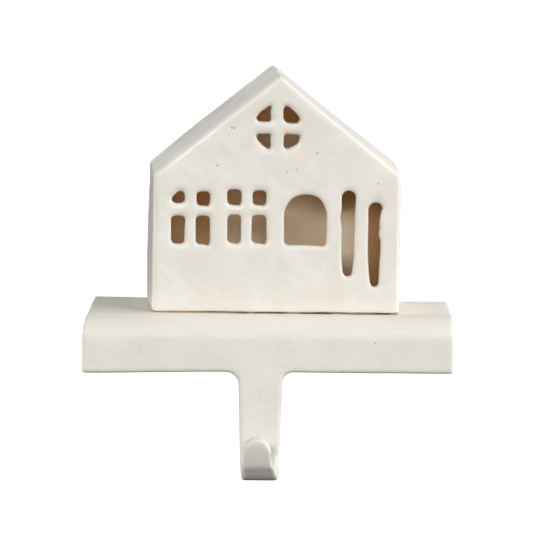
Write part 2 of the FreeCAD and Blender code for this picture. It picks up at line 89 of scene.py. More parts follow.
def linear(colour: Colour) -> Light:
    """Turns a colour as a screen shows it into the shader's own numbers, by the screens' standard curve.

    Args:
        colour: its red, green and blue from 0 to 255.

    Returns:
        The linear colour with full alpha.
    """
    shares = (level / BRIGHTEST for level in colour)
    red, green, blue = (at / 12.92 if at <= 0.04045 else ((at + 0.055) / 1.055) ** 2.4 for at in shares)
    return red, green, blue, 1.0


class Nodes:
    """A node tree, with short ways to add nodes and join them."""

    def __init__(self, tree: bpy.types.NodeTree) -> None:
        """Keeps the tree that the nodes go into."""
        self.tree = tree

    def node(self, kind: str) -> bpy.types.Node:
        """Adds one node of the given kind."""
        return self.tree.nodes.new(kind)

    def put(self, socket: Socket, value: Shade) -> None:
        """Gives a socket its value, or joins another socket to it.

        Args:
            socket: the input.
            value: a number, a colour, a vector or an output socket.
        """
        if isinstance(value, Socket):
            self.tree.links.new(value, socket)
        else:
            socket.default_value = value

    def math(self, what: Sum, *values: Value) -> Socket:
        """Adds a Math node.

        Args:
            what: the sum that it works out.
            values: its numbers in order.

        Returns:
            The result.
        """
        node = self.node("ShaderNodeMath")
        node.operation = what.value
        for socket, value in zip(node.inputs, values):
            self.put(socket, value)
        return node.outputs[0]

    def times(self, first: Value, second: Value) -> Socket:
        """Multiplies two numbers."""
        return self.math(Sum.TIMES, first, second)

    def ramp(self, value: Value, start: float, end: float, low: float = 0.0, high: float = 1.0) -> Socket:
        """Leads smoothly from low at start to high at end, and holds both outside that range.

        Args:
            value: the number that it follows.
            start: where the result is low.
            end: where the result is high.
            low: the result at start.
            high: the result at end.

        Returns:
            The result.
        """
        node = self.node("ShaderNodeMapRange")
        node.interpolation_type = "SMOOTHSTEP"
        numbers = {"Value": value, "From Min": start, "From Max": end, "To Min": low, "To Max": high}
        for name, number in numbers.items():
            self.put(node.inputs[name], number)
        return node.outputs["Result"]

    def split(self, vector: Socket) -> list[Socket]:
        """Takes a vector apart.

        Args:
            vector: the vector.

        Returns:
            Its numbers across, into the picture and up.
        """
        node = self.node("ShaderNodeSeparateXYZ")
        self.put(node.inputs[0], vector)
        return list(node.outputs)


class Graph(Nodes):
    """A material's nodes round one shader."""

    def __init__(self, name: str) -> None:
        """Starts a material with a shader and the object's own coordinates.

        Args:
            name: the material's name.
        """
        self.material = bpy.data.materials.new(name)
        self.material.use_nodes = True
        super().__init__(self.material.node_tree)
        self.tree.nodes.clear()
        output = self.node("ShaderNodeOutputMaterial")
        self.shader = self.node("ShaderNodeBsdfPrincipled")
        self.put(output.inputs["Surface"], self.shader.outputs["BSDF"])
        self.position = self.node("ShaderNodeTexCoord").outputs["Object"]
        self.across, self.into, self.up = self.split(self.position)

    def stretched(self, across: float) -> Socket:
        """Gives the object's coordinates, drawn out along its width.

        Args:
            across: what the places across are multiplied by.

        Returns:
            The coordinates.
        """
        node = self.node("ShaderNodeVectorMath")
        node.operation = "MULTIPLY"
        self.put(node.inputs[0], self.position)
        self.put(node.inputs[1], (across, 1.0, 1.0))
        return node.outputs[0]

    def noise(self, size: float, detail: float = 3.0, where: Socket | None = None,
              rough: float = 0.5) -> Socket:
        """Makes cloudy noise from 0 to 1.

        Args:
            size: the width of one cloud in metres.
            detail: how many finer layers it has.
            where: the coordinates, or None for the object's own.
            rough: how strong the finer layers are.

        Returns:
            The noise's height.
        """
        node = self.node("ShaderNodeTexNoise")
        self.put(node.inputs["Vector"], where or self.position)
        self.put(node.inputs["Scale"], 1 / size)
        self.put(node.inputs["Detail"], detail)
        self.put(node.inputs["Roughness"], rough)
        return node.outputs["Fac"]

    def mix(self, share: Value, first: Shade, second: Shade) -> Socket:
        """Blends two colours.

        Args:
            share: how much of the second colour there is.
            first: the first colour.
            second: the second colour.

        Returns:
            The blend.
        """
        node = self.node("ShaderNodeMix")
        node.data_type = "RGBA"
        self.put(node.inputs["Factor"], share)
        self.put(node.inputs[MIX_FIRST], first)
        self.put(node.inputs[MIX_SECOND], second)
        return node.outputs[MIX_RESULT]

    def bump(self, height: Socket, depth: float, below: Socket | None = None) -> Socket:
        """Turns a height into a shading normal.

        Args:
            height: the height from 0 to 1.
            depth: how far that is in metres.
            below: the normal that it adds to.

        Returns:
            The new normal.
        """
        node = self.node("ShaderNodeBump")
        self.put(node.inputs["Strength"], 1.0)
        self.put(node.inputs["Distance"], depth)
        self.put(node.inputs["Height"], height)
        if below is not None:
            self.put(node.inputs["Normal"], below)
        return node.outputs["Normal"]

    def attribute(self, name: str) -> Socket:
        """Reads a number that the mesh keeps at each point.

        Args:
            name: the name that the mesh keeps it under.

        Returns:
            The number.
        """
        node = self.node("ShaderNodeAttribute")
        node.attribute_name = name
        return node.outputs["Fac"]

    def spot(self, middle: Point, radius: float, edge: float = 0.5) -> Socket:
        """Makes a round mark that is 1 at its middle and 0 outside its radius.

        Args:
            middle: its middle in metres.
            radius: its radius in metres.
            edge: the share of the radius over which it fades.

        Returns:
            The mark's strength.
        """
        node = self.node("ShaderNodeVectorMath")
        node.operation = "DISTANCE"
        self.put(node.inputs[0], self.position)
        self.put(node.inputs[1], middle)
        return self.ramp(node.outputs["Value"], radius, radius * (1 - edge))

    def any_of(self, marks: list[Socket]) -> Socket:
        """Joins several marks, so that the strongest one counts at each place."""
        return reduce(lambda joined, mark: self.math(Sum.LARGER, joined, mark), marks)

    def finish(self, colour: Shade, roughness: Value, normal: Socket | None = None,
               specular: float = 0.5) -> bpy.types.Material:
        """Gives the shader its colour, roughness and normal.

        Args:
            colour: the base colour.
            roughness: how matt the surface is.
            normal: the shading normal, or None for the mesh's own.
            specular: how strongly it mirrors.

        Returns:
            The finished material.
        """
        self.put(self.shader.inputs["Base Color"], colour)
        self.put(self.shader.inputs["Roughness"], roughness)
        self.put(self.shader.inputs["Specular IOR Level"], specular)
        if normal is not None:
            self.put(self.shader.inputs["Normal"], normal)
        return self.material


@dataclass(frozen=True)
class IvoryGlaze:
    """The house's finish: ivory glaze outside, and bare clay inside and along the inner edges.

    A pinhole has its place across, height and radius, a patch its place across, height, half width, half
    height and strength, and a roof line its place from front to back and strength, in millimetres. Other
    lengths are in metres. A span leads from none to all, and a pair of a size and a depth is a bump.
    """

    light: Colour = (244, 240, 230)
    deep: Colour = (239, 234, 222)
    # Painted shade: a darker glaze colour for the upper walls, where less light falls.
    upper_shade: Colour = (232, 228, 217)
    clay: Colour = (250, 227, 184)
    burnt: Colour = (246, 217, 168)
    # The colour of the painted light on the inner walls.
    painted_light_colour: Colour = (248, 236, 206)
    speck: Colour = (150, 126, 96)
    line: Colour = (112, 92, 70)
    # The colour of the painted shade on the inner walls.
    brown: Colour = (196, 150, 96)
    pinholes: tuple[Point, ...] = (
        (-14.5, 85.5, 0.40), (-15.5, 85.8, 0.25), (-16.6, 82.6, 0.28), (-21.0, 70.2, 0.42),
        (19.2, 75.6, 0.40), (7.0, 67.8, 0.30), (11.0, 69.0, 0.28), (44.0, 63.6, 0.35), (-13.0, 65.3, 0.22),
        (30.5, 52.0, 0.22),
    )
    front: float = -23.5
    # Pale patches on the inner walls: painted light, where light through the cut-outs falls inside.
    painted_light_patches: tuple[Patch, ...] = (
        (33.0, 26.0, 7.0, 23.0, 1.0), (3.0, 44.0, 24.0, 26.0, 0.8), (7.0, 75.5, 13.0, 8.5, 1.0),
        (-12.0, 41.0, 9.0, 11.0, 0.45),
    )
    # Brown patches on the inner walls: painted shade, where little light reaches inside.
    painted_shade_patches: tuple[Patch, ...] = (
        (-25.5, 46.0, 8.0, 24.0, 0.25), (46.0, 34.0, 8.0, 32.0, 0.75), (33.0, 60.0, 7.5, 12.5, 0.65),
        (10.0, 90.0, 8.0, 8.0, 0.4),
    )
    roof_lines: tuple[Span, ...] = ((1.5, 0.5), (11.5, 0.9), (20.5, 0.7))
    cloud_size: float = 0.016
    cloud_span: Span = (0.35, 0.65)
    upper_shade_heights: Span = (0.05, 0.10)
    gradient_share: float = 0.8
    burnt_size: float = 0.009
    burnt_span: Span = (0.35, 0.7)
    hole_spread: float = 1.4
    hole_colour: float = 0.55
    hole_dent: float = 0.3
    line_colour: float = 0.85
    line_edges: Span = (0.0015, 0.0004)
    line_foot: Span = (-0.041, -0.030)
    line_head: Span = (-0.005, -0.016)
    facing_left: Span = (-0.3, -0.5)
    facing_up: Span = (0.3, 0.5)
    wobble_size: float = 0.012
    wobble: float = 0.0016
    ragged_size: float = 0.007
    ragged: float = 0.5
    patch_edges: Span = (1.15, 0.7)
    ripple: Span = (0.011, 0.00035)
    orange_peel: Span = (0.0028, 0.00008)
    dent_depth: float = -0.0006
    gloss_span: Span = (0.3, 0.7)
    gloss_range: Span = (0.30, 0.42)
    clay_roughness: float = 0.5

    def material(self) -> bpy.types.Material:
        """Builds the glaze's material.

        Returns:
            The material.
        """
        g = Graph("ivory_glaze")
        clay = g.attribute("clay")
        clouds = g.noise(self.cloud_size)
        front, spread = self.front * MM, self.hole_spread
        holes = g.any_of([g.spot((x * MM, front, z * MM), r * spread * MM) for x, z, r in self.pinholes])
        lines = self._roof_marks(g)
        colour = g.mix(clay, self._outside(g, clouds), self._inside(g))
        colour = g.mix(g.times(holes, self.hole_colour), colour, linear(self.speck))
        colour = g.mix(g.times(lines, self.line_colour), colour, linear(self.line))
        ripple_size, ripple_depth = self.ripple
        peel_size, peel_depth = self.orange_peel
        rippled = g.bump(g.noise(ripple_size, 2.0), ripple_depth)
        peeled = g.bump(g.noise(peel_size, 2.0), peel_depth, rippled)
        dents = g.math(Sum.ADD, g.times(holes, self.hole_dent), lines)
        gloss = g.ramp(clouds, *self.gloss_span, *self.gloss_range)
        roughness = g.math(Sum.ADD, gloss, g.times(clay, self.clay_roughness))
        return g.finish(colour, roughness, g.bump(dents, self.dent_depth, peeled))

    def _outside(self, g: Graph, clouds: Socket) -> Socket:
        """Colours the glaze, with painted shade that darkens it towards the top of the walls.

        Args:
            g: the material's nodes.
            clouds: the noise that makes it uneven.

        Returns:
            The colour.
        """
        glaze = g.mix(g.ramp(clouds, *self.cloud_span), linear(self.light), linear(self.deep))
        # Painted shade: the glaze turns darker up the walls.
        return g.mix(g.ramp(g.up, *self.upper_shade_heights, 0.0, self.gradient_share), glaze, linear(self.upper_shade))

    def _inside(self, g: Graph) -> Socket:
        """Colours the bare clay, with pale patches of painted light and brown patches of painted shade on it.

        Args:
            g: the material's nodes.

        Returns:
            The colour.
        """
        burnt = g.ramp(g.noise(self.burnt_size, 4.0, rough=0.6), *self.burnt_span)
        bare = g.mix(burnt, linear(self.clay), linear(self.burnt))
        # Painted light: pale patches where light through the cut-outs falls.
        with_painted_light = g.mix(self._patches(g, self.painted_light_patches), bare, linear(self.painted_light_colour))
        # Painted shade: brown patches where the inside stays dark.
        return g.mix(self._patches(g, self.painted_shade_patches), with_painted_light, linear(self.brown))

    def _patches(self, g: Graph, places: tuple[Patch, ...]) -> Socket:
        """Makes oval patches with ragged edges.

        Args:
            g: the material's nodes.
            places: the patches.

        Returns:
            The patches' strength.
        """
        ragged = g.times(g.math(Sum.TAKE, g.noise(self.ragged_size), 0.5), self.ragged)
        patches = []
        for x, z, wide, tall, strength in places:
            squares = []
            for side, middle, half in ((g.across, x, wide), (g.up, z, tall)):
                off = g.times(g.math(Sum.TAKE, side, middle * MM), 1 / (half * MM))
                squares.append(g.times(off, off))
            reach = g.math(Sum.ADD, g.math(Sum.ADD, *squares), ragged)
            patches.append(g.ramp(reach, *self.patch_edges, 0.0, strength))
        return g.any_of(patches)

    def _roof_marks(self, g: Graph) -> Socket:
        """Makes narrow brown lines that run up the left slope of the roof and fade at both ends.

        Args:
            g: the material's nodes.

        Returns:
            The lines' strength.
        """
        wobble = g.times(g.math(Sum.TAKE, g.noise(self.wobble_size, 2.0), 0.5), self.wobble)
        into = g.math(Sum.ADD, g.into, wobble)
        marks = []
        for place, strength in self.roof_lines:
            off = g.math(Sum.SIZE_OF, g.math(Sum.TAKE, into, place * MM))
            marks.append(g.ramp(off, *self.line_edges, 0.0, strength))
        along = g.times(g.ramp(g.across, *self.line_foot), g.ramp(g.across, *self.line_head))
        left, _, up = g.split(g.node("ShaderNodeNewGeometry").outputs["Normal"])
        left_slope = g.times(g.ramp(left, *self.facing_left), g.ramp(up, *self.facing_up))
        return g.times(g.any_of(marks), g.times(along, left_slope))


@dataclass(frozen=True)
class IvoryPaint:
    """The casting's finish: ivory paint brushed over a slightly rough cast surface.

    A scuff has its place across, into the picture and up, and its radius, in millimetres. Other lengths are
    in metres. A span leads from none to all, and a pair of a size and a depth is a bump.
    """

    light: Colour = (245, 241, 231)
    deep: Colour = (240, 235, 223)
    # Painted shade: a slightly darker paint for the sloping shoulder, so that it looks no brighter than the
    # front face.
    shoulder_shade: Colour = (241, 236, 225)
    mark: Colour = (206, 192, 168)
    scuffs: tuple[tuple[float, float, float, float], ...] = (
        (65.2, -30.4, 6.2, 1.1), (66.8, -31.6, 5.3, 0.8), (68.0, -29.6, 6.6, 0.6), (71.8, -29.2, 6.9, 1.0),
        (73.6, -33.6, 3.8, 0.9), (43.2, -37.0, 0.2, 0.6), (55.4, -37.0, -4.4, 0.5), (-52.0, -36.8, -1.5, 0.5),
    )
    cloud_size: float = 0.02
    cloud_span: Span = (0.3, 0.7)
    scuff_edge: float = 0.7
    scuff_grain: float = 0.0012
    scuff_span: Span = (0.35, 0.6)
    scuff_colour: float = 0.6
    scuff_depth: float = -0.0004
    brush_size: float = 0.0026
    brush_stretch: float = 0.35
    brush_depth: float = 0.00010
    cast: Span = (0.0034, 0.00016)
    uneven: Span = (0.008, 0.00022)
    gloss_span: Span = (0.3, 0.7)
    gloss_range: Span = (0.48, 0.62)
    specular: float = 0.4

    def material(self) -> bpy.types.Material:
        """Builds the paint's material.

        Returns:
            The material.
        """
        g = Graph("ivory_paint")
        clouds = g.noise(self.cloud_size, 4.0)
        colour = g.mix(g.ramp(clouds, *self.cloud_span), linear(self.light), linear(self.deep))
        # Painted shade on the sloping shoulder.
        colour = g.mix(g.attribute("shoulder_shade"), colour, linear(self.shoulder_shade))
        spots = [g.spot((x * MM, y * MM, z * MM), r * MM, self.scuff_edge) for x, y, z, r in self.scuffs]
        grain = g.ramp(g.noise(self.scuff_grain), *self.scuff_span)
        scuffs = g.times(g.any_of(spots), grain)
        colour = g.mix(g.times(scuffs, self.scuff_colour), colour, linear(self.mark))
        brushed = g.noise(self.brush_size, 4.0, g.stretched(self.brush_stretch), rough=0.6)
        cast_size, cast_depth = self.cast
        uneven_size, uneven_depth = self.uneven
        normal = g.bump(brushed, self.brush_depth)
        normal = g.bump(g.noise(cast_size), cast_depth, normal)
        normal = g.bump(g.noise(uneven_size, 2.0), uneven_depth, normal)
        normal = g.bump(scuffs, self.scuff_depth, normal)
        roughness = g.ramp(brushed, *self.gloss_span, *self.gloss_range)
        return g.finish(colour, roughness, normal, self.specular)


@dataclass(frozen=True)
class BrownGlue:
    """The glue's finish: dried brown adhesive with paler and darker places."""

    dark: Colour = (96, 70, 46)
    pale: Colour = (170, 144, 110)
    patch_size: float = 0.006
    patch_span: Span = (0.4, 0.62)
    thin_across: Span = (-0.005, -0.030)
    gradient_share: float = 0.22
    grain: Span = (0.0012, 0.0002)
    roughness: float = 0.7

    def material(self) -> bpy.types.Material:
        """Builds the glue's material.

        Returns:
            The material.
        """
        g = Graph("brown_glue")
        thinner = g.ramp(g.across, *self.thin_across, 0.0, self.gradient_share)
        share = g.ramp(g.math(Sum.ADD, g.noise(self.patch_size), thinner), *self.patch_span)
        colour = g.mix(share, linear(self.dark), linear(self.pale))
        grain_size, grain_depth = self.grain
        return g.finish(colour, self.roughness, g.bump(g.noise(grain_size), grain_depth))


@dataclass(frozen=True)
class GreyFelt:
    """The pad's finish: pressed wool felt with short fibres in every direction."""

    dark: Colour = (88, 84, 78)
    pale: Colour = (128, 123, 114)
    fibre_size: float = 0.0007
    fibre_share: float = 0.7
    fibre_depth: float = 0.0004
    tuft_size: float = 0.004
    tuft_share: float = 0.3
    pale_span: Span = (0.35, 0.65)
    sheen: float = 0.4
    sheen_roughness: float = 0.6
    roughness: float = 0.95
    specular: float = 0.1

    def material(self) -> bpy.types.Material:
        """Builds the felt's material.

        Returns:
            The material.
        """
        g = Graph("grey_felt")
        fibres = g.noise(self.fibre_size, 6.0, rough=0.75)
        fibre_part = g.times(fibres, self.fibre_share)
        tuft_part = g.times(g.noise(self.tuft_size), self.tuft_share)
        share = g.ramp(g.math(Sum.ADD, fibre_part, tuft_part), *self.pale_span)
        colour = g.mix(share, linear(self.dark), linear(self.pale))
        g.put(g.shader.inputs["Sheen Weight"], self.sheen)
        g.put(g.shader.inputs["Sheen Roughness"], self.sheen_roughness)
        return g.finish(colour, self.roughness, g.bump(fibres, self.fibre_depth), self.specular)


@dataclass(frozen=True)
class Swell:
    """Smooth unevenness in space, as a sum of seeded waves in random directions.

    It has the waves' seed, their usual length in metres, their strength and how many there are.
    """

    seed: int
    length: float
    strength: float
    count: int = 24
    lengths: Span = (0.7, 1.6)

    def at(self, points: np.ndarray) -> np.ndarray:
        """Works out the unevenness.

        Args:
            points: the points, one a row.

        Returns:
            Its height at each, mostly between the strength and its opposite.
        """
        rng = np.random.default_rng(self.seed)
        directions = rng.normal(size=(self.count, 3))
        directions /= np.linalg.norm(directions, axis=1)[:, None]
        vectors = directions * (2 * math.pi / (self.length * rng.uniform(*self.lengths, self.count)))[:, None]
        starts = rng.uniform(0, 2 * math.pi, self.count)
        return self.strength * (np.cos(points @ vectors.T + starts).sum(1) / math.sqrt(self.count))


def smoothstep(start: float, end: float, value: np.ndarray) -> np.ndarray:
    """Leads smoothly from 0 at start to 1 at end."""
    share = np.clip((value - start) / (end - start), 0, 1)
    return share * share * (3 - 2 * share)


@dataclass
class Skin:
    """A piece while it is being shaped: its object, its CAD node's box, and its mesh's points and normals."""

    piece: bpy.types.Object
    low: Vector
    high: Vector
    points: np.ndarray = field(init=False)
    normals: np.ndarray = field(init=False)

    def __post_init__(self) -> None:
        """Takes the points and normals from the mesh."""
        mesh = self.piece.data
        points, normals = np.empty(len(mesh.vertices) * 3), np.empty(len(mesh.vertices) * 3)
        mesh.vertices.foreach_get("co", points)
        mesh.vertex_normals.foreach_get("vector", normals)
        self.points, self.normals = points.reshape(-1, 3), normals.reshape(-1, 3)

    def write(self, below: Point = (0.0, 0.0, 0.0), above: Point = (0.0, 0.0, 0.0)) -> None:
        """Puts the points back, held inside the node's box.

        Args:
            below: what the box's lowest corner moves by.
            above: what its highest corner moves by.
        """
        held = np.clip(self.points, np.array(self.low + Vector(below)), np.array(self.high + Vector(above)))
        self.piece.data.vertices.foreach_set("co", held.astype(np.float32).ravel())
        self.piece.data.update()

    def keep(self, name: str, values: np.ndarray) -> None:
        """Stores one number for each point under a name that a material reads."""
        attribute = self.piece.data.attributes.new(name, "FLOAT", "POINT")
        attribute.data.foreach_set("value", values.astype(np.float32))

    def sink(self, depth: float, swells: tuple[Swell, ...]) -> None:
        """Sinks the surface unevenly, by half the depth on average.

        Args:
            depth: the greatest depth in metres.
            swells: what makes it uneven.
        """
        share = sum((swell.at(self.points) for swell in swells), 0.5)
        self.points -= self.normals * (np.clip(share, 0, 1) * depth)[:, None]


def fine_copy(node: str, name: str, cell: float, rounds: int) -> Skin:
    """Copies a CAD node into a new piece with an even, fine mesh and softened edges.

    Args:
        node: the CAD node.
        name: the new piece's name.
        cell: the width of the new mesh's cells in metres.
        rounds: how often its points are evened out.

    Returns:
        The new piece, ready to be shaped.
    """
    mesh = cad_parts[node].data.copy()
    work = bmesh.new()
    work.from_mesh(mesh)
    bmesh.ops.remove_doubles(work, verts=work.verts, dist=SAME_POINT)
    work.to_mesh(mesh)
    work.free()
    piece = bpy.data.objects.new(name, mesh)
    bpy.context.scene.collection.objects.link(piece)
    remesh = piece.modifiers.new("even_mesh", "REMESH")
    remesh.mode = "VOXEL"
    remesh.voxel_size = cell
    even = piece.modifiers.new("even_out", "SMOOTH")
    even.factor = SMOOTHING
    even.iterations = rounds
    bpy.context.view_layer.update()
    shaped = piece.evaluated_get(bpy.context.evaluated_depsgraph_get())
    result = bpy.data.meshes.new_from_object(shaped)
    piece.modifiers.clear()
    piece.data = result
    result.materials.clear()
    result.shade_smooth()
    return Skin(piece, *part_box(node))


def mounted(piece: bpy.types.Object, material: bpy.types.Material, node: str) -> bpy.types.Object:
    """Dresses a piece and lets it stand for a CAD node.

    Args:
        piece: the piece.
        material: its finish.
        node: the CAD node that it stands for.

    Returns:
        The same piece.
    """
    piece.data.materials.append(material)
    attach(piece, "root")
    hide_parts(node)
    return piece


@dataclass(frozen=True)
class Cutout:
    """How far the glaze moved one cut-out's sides from where the tool cut them, all in millimetres.

    The cut is given by its left, right, foot and top, and its moves to the right and up by the same sides.
    round_top is how far down the top's curve reaches. The rest says how the moves fade along the front wall:
    past the cut's ends, outside its edge, and into the hole from its sides and from its crown.
    """

    left: float
    right: float
    foot: float
    top: float
    move_left: float = 0.0
    move_right: float = 0.0
    move_foot: float = 0.0
    move_top: float = 0.0
    round_top: float = 0.0
    past_end: Span = (2.5, 0.5)
    outside_edge: Span = (2.2, 0.3)
    into_hole: Span = (3.2, 0.4)
    under_crown: Span = (3.6, 0.6)
    crown_share: float = 0.6

    def push(self, x: np.ndarray, z: np.ndarray) -> tuple[np.ndarray, np.ndarray]:
        """Works out how far points of the front wall move.

        Args:
            x: the points' places across, in millimetres.
            z: their heights, in millimetres.

        Returns:
            Their moves to the right and up.
        """
        beside = self._along(self.foot, self.top, z)
        over = self._along(self.left, self.right, x)
        reach, full = self.under_crown
        lower = self.crown_share * self.round_top
        left, right = self._near(self.left - x, self.into_hole), self._near(x - self.right, self.into_hole)
        foot = self._near(self.foot - z, self.into_hole)
        crown = self._near(z - self.top, (reach + lower, full + lower))
        across = self.move_left * left + self.move_right * right
        up = self.move_foot * foot + self.move_top * crown
        return across * beside, up * over

    def _along(self, start: float, end: float, place: np.ndarray) -> np.ndarray:
        """Leads from none past the cut's ends to full between them.

        Args:
            start: the cut's left side or foot.
            end: its right side or top.
            place: the points' places across or their heights.

        Returns:
            The share of the move.
        """
        beyond, inside = self.past_end
        return (smoothstep(start - beyond, start + inside, place)
                * smoothstep(end + beyond, end - inside, place))

    def _near(self, outside: np.ndarray, hole: Span) -> np.ndarray:
        """Leads from full at an edge to none a little outside it and further inside the hole.

        Args:
            outside: how far the points lie outside the edge.
            hole: how far into the hole the move reaches, and how far it stays full.

        Returns:
            The share of the move.
        """
        reach, full = hole
        return smoothstep(*self.outside_edge, outside) * smoothstep(-reach, -full, outside)


@dataclass(frozen=True)
class Press:
    """A place where the front wall's edge was pressed sideways or up, with its reach, in millimetres."""

    x: float
    z: float
    across: float
    up: float
    wide: float
    tall: float

    def push(self, x: np.ndarray, z: np.ndarray) -> tuple[np.ndarray, np.ndarray]:
        """Works out how far points of the front wall move to the right and up."""
        share = np.exp(-((x - self.x) / self.wide) ** 2 - ((z - self.z) / self.tall) ** 2)
        return self.across * share, self.up * share


@dataclass(frozen=True)
class Lean:
    """How the hand-built walls stand: the back a little to the left, and the right wall a little outwards.

    The lean grows from the front to the back. It is held at the left eave, and fades towards the right wall,
    which spreads evenly up to the roof, and along the roof's right slope.
    """

    front: float = -23.5 * MM
    back: float = 29.5 * MM
    back_shift: float = -1.4 * MM
    right_spread: float = 1.1 * MM
    eave_across: Span = (-25 * MM, -47 * MM)
    eave_up: Span = (30 * MM, 66 * MM)
    eave_hold: float = 0.55
    lean_end: Span = (20 * MM, 50 * MM)
    roof_start: Span = (62 * MM, 70 * MM)
    wall_across: Span = (46.5 * MM, 50.5 * MM)
    slope_start: float = 20 * MM
    slope_width: float = 31 * MM

    def at(self, points: np.ndarray) -> np.ndarray:
        """Works out how far points of the walls stand to the right of where the solid has them.

        Args:
            points: the points, one a row.

        Returns:
            The distance for each.
        """
        x, y, z = points.T
        depth = np.clip((y - self.front) / (self.back - self.front), 0, 1)
        left_eave = smoothstep(*self.eave_across, x) * smoothstep(*self.eave_up, z)
        back = self.back_shift * (1 - self.eave_hold * left_eave) * (1 - smoothstep(*self.lean_end, x))
        roof = smoothstep(*self.roof_start, z)
        wall_share = smoothstep(*self.wall_across, x)
        roof_share = np.clip((x - self.slope_start) / self.slope_width, 0, 1)
        return depth * back + self.right_spread * (wall_share * (1 - roof) + roof_share * roof)


@dataclass
class CeramicHouse:
    """The glazed house: the solid's own walls and cut-outs, made uneven as a hand-built piece is.

    A span leads from none to all of what it is named for, counted from a face of the house or its wall.
    """

    node: str = "ceramic_house"
    cell: float = 0.77 * MM
    rounds: int = 4
    wall: float = 5.0 * MM
    eave: float = 67.1 * MM
    peak: Span = (3.6 * MM, 107.5 * MM)
    clay_from_front: Span = (-1.3 * MM, -0.5 * MM)
    clay_from_back: Span = (-1.5 * MM, -2.5 * MM)
    clay_from_sides: Span = (1.5 * MM, 3.0 * MM)
    below_roof: Span = (2.5 * MM, 4.0 * MM)
    behind_front: Span = (1 * MM, 4 * MM)
    within_front: Span = (2 * MM, 4 * MM)
    wave_depth: float = 0.16 * MM
    swells: tuple[Swell, ...] = (Swell(21, 19 * MM, 0.35), Swell(22, 7 * MM, 0.15))
    wander: tuple[Swell, Swell] = (Swell(11, 11 * MM, 0.08 * MM), Swell(12, 13 * MM, 0.08 * MM))
    lean: Lean = Lean()
    cutouts: tuple[Cutout, ...] = (
        Cutout(-39.45, -33.10, 38.3, 50.8, 0.3, -0.9, 0.2, -1.2),
        Cutout(-29.40, -23.05, 38.3, 50.8, 0.1, -0.7, 0.0, -1.1),
        Cutout(-16.70, -10.35, 38.8, 51.3, 0.2, -0.9, 0.1, -1.1),
        Cutout(-6.65, -0.30, 38.8, 51.3, 0.0, -0.6, 0.1, -1.1),
        Cutout(-39.45, -33.10, 54.2, 60.9, 0.4, -1.0, 0.7, -1.3),
        Cutout(-29.40, -23.05, 54.2, 60.9, 0.3, -0.7, -0.2, -1.5),
        Cutout(-16.70, -10.35, 54.7, 61.4, 0.0, -0.9, -0.3, -0.9),
        Cutout(-6.65, -0.30, 54.7, 61.4, 0.1, -0.7, -0.4, -1.2),
        Cutout(6.35, 23.65, 38.3, 60.0, 0.0, -0.3, 0.0, -1.2, 8.7),
        Cutout(29.35, 35.05, 25.9, 61.9, 0.0, 0.1, -0.3, -1.3, 2.9),
        Cutout(40.25, 45.95, 21.6, 57.6, 0.0, 0.0, -0.1, -1.8, 2.9),
    )
    presses: tuple[Press, ...] = (
        Press(-39.0, 59.8, 0.5, -0.4, 2.4, 2.4), Press(-23.4, 38.4, 0.0, -0.6, 1.8, 1.6),
        Press(-0.7, 39.0, 0.0, -0.5, 1.8, 1.6), Press(-11.0, 39.0, 0.0, -0.3, 2.2, 1.6),
        Press(22.8, 38.5, 0.1, -0.3, 2.2, 1.6), Press(-23.4, 54.4, 0.0, -0.4, 2.0, 1.4),
        Press(-0.7, 54.8, 0.0, -0.3, 2.0, 1.4), Press(-11.0, 54.8, 0.0, -0.3, 2.0, 1.4),
        Press(29.4, 49.0, -0.6, 0.0, 1.8, 2.4), Press(29.9, 34.5, -0.9, 0.0, 1.8, 9.0),
        Press(34.6, 33.0, 0.4, 0.0, 1.8, 8.0), Press(40.7, 33.0, -0.9, 0.0, 1.8, 11.0),
        Press(45.9, 48.5, -0.9, 0.0, 2.0, 5.5), Press(45.6, 42.8, -0.6, 0.0, 1.6, 1.6),
        Press(1.2, 91.5, -0.9, 0.0, 1.6, 3.6), Press(1.2, 80.5, -0.9, 0.0, 1.6, 3.6),
        Press(11.0, 93.2, -0.3, -0.3, 3.0, 3.0), Press(9.0, 88.2, 0.0, -0.4, 3.5, 1.2),
        Press(-3.0, 94.0, 0.0, -0.5, 3.0, 2.0), Press(-2.5, 83.6, 0.0, -0.6, 4.0, 1.2),
        Press(9.2, 83.6, 0.0, -0.6, 4.0, 1.2), Press(11.8, 79.0, 0.5, -0.5, 2.4, 2.4),
    )
    finish: IvoryGlaze = IvoryGlaze()

    def build(self) -> bpy.types.Object:
        """Makes the house.

        Returns:
            The finished piece.
        """
        skin = fine_copy(self.node, "glazed_house", self.cell, self.rounds)
        skin.keep("clay", self._bare_clay(skin))
        self._shape_cutouts(skin)
        skin.sink(self.wave_depth, self.swells)
        skin.points[:, 0] += self.lean.at(skin.points)
        skin.write((self.lean.back_shift, 0, 0), (self.lean.right_spread, 0, 0))
        return mounted(skin.piece, self.finish.material(), self.node)

    def _bare_clay(self, skin: Skin) -> np.ndarray:
        """Works out how much each point shows bare clay: full inside the hollow and none outside.

        Args:
            skin: the house's mesh.

        Returns:
            The share for each point.
        """
        x, y, _ = skin.points.T
        inner = skin.low.y + self.wall
        behind = smoothstep(*(inner + off for off in self.clay_from_front), y)
        before_back = smoothstep(*(skin.high.y + off for off in self.clay_from_back), y)
        within_sides = smoothstep(*self.clay_from_sides, np.minimum(x - skin.low.x, skin.high.x - x))
        return behind * before_back * within_sides * self._under_roof(skin)

    def _under_roof(self, skin: Skin) -> np.ndarray:
        """Leads from none on the roof's outer faces to full below them.

        Args:
            skin: the house's mesh.

        Returns:
            The share for each point.
        """
        x, _, z = skin.points.T
        peak_x, peak_z = self.peak
        left = self.eave + (peak_z - self.eave) * (x - skin.low.x) / (peak_x - skin.low.x)
        right = self.eave + (peak_z - self.eave) * (skin.high.x - x) / (skin.high.x - peak_x)
        return smoothstep(*self.below_roof, np.minimum(left, right) - z)

